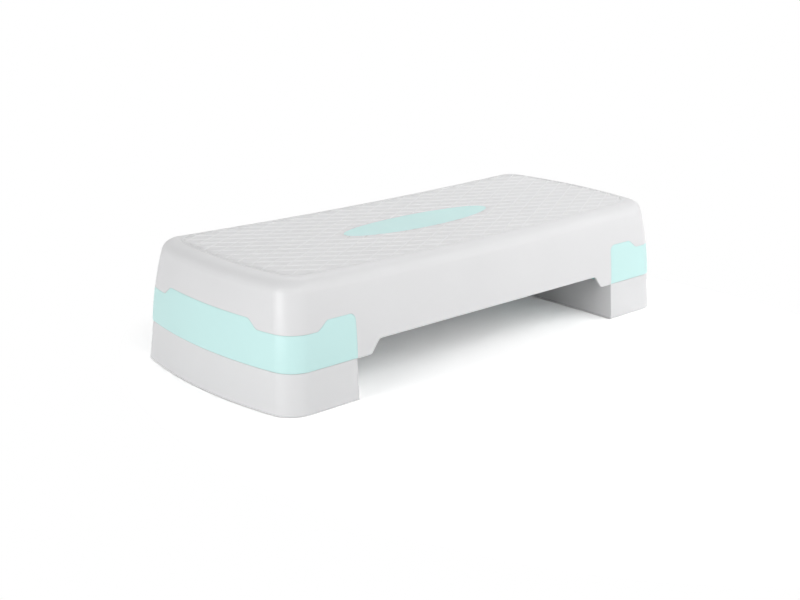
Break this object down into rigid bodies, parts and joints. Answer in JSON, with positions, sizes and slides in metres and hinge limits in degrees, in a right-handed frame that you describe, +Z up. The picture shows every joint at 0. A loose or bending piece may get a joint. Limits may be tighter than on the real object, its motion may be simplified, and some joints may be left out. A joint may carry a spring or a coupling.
{
  "type": "aerobic step platform",
  "caption": "Low exercise step with a dished, ribbed top, a plain oval inlay and bowed ends, on legs whose lower risers pull off to change the step height.",
  "frame": {"origin": "centre of the footprint on the floor, at the underside of the floor pads", "axes": "+X along the step's length, +Y across it away from the pictured long side, +Z up"},
  "size_m": [0.68, 0.29, 0.15],
  "materials": {
    "grey_plastic": "satin moulded",
    "mint_plastic": "satin moulded",
    "pad_rubber": "matt",
    "screw_steel": "zinc plated"
  },
  "bodies": {
    "platform": {"deck": "grey_plastic", "oval_inlay": "mint_plastic", "upper_riser_left": "mint_plastic", "riser_screws_left": "screw_steel", "riser_pad_left_front_inner": "pad_rubber", "riser_pad_left_front_outer": "pad_rubber", "riser_pad_left_back_inner": "pad_rubber", "riser_pad_left_back_outer": "pad_rubber", "upper_riser_right": "mint_plastic", "riser_screws_right": "screw_steel", "riser_pad_right_front_inner": "pad_rubber", "riser_pad_right_front_outer": "pad_rubber", "riser_pad_right_back_inner": "pad_rubber", "riser_pad_right_back_outer": "pad_rubber"},
    "lower_left": {"lower_riser_left": "grey_plastic", "floor_pad_left_front_inner": "pad_rubber", "floor_pad_left_front_outer": "pad_rubber", "floor_pad_left_back_inner": "pad_rubber", "floor_pad_left_back_outer": "pad_rubber"},
    "lower_right": {"lower_riser_right": "grey_plastic", "floor_pad_right_front_inner": "pad_rubber", "floor_pad_right_front_outer": "pad_rubber", "floor_pad_right_back_inner": "pad_rubber", "floor_pad_right_back_outer": "pad_rubber"}
  },
  "joints": [
    {"name": "lower_left_pull", "type": "slide", "parent": "platform", "child": "lower_left", "axis": [0, 0, -1], "range_m": [0, 0.06]},
    {"name": "lower_right_pull", "type": "slide", "parent": "platform", "child": "lower_right", "axis": [0, 0, -1], "range_m": [0, 0.06]}
  ]
}
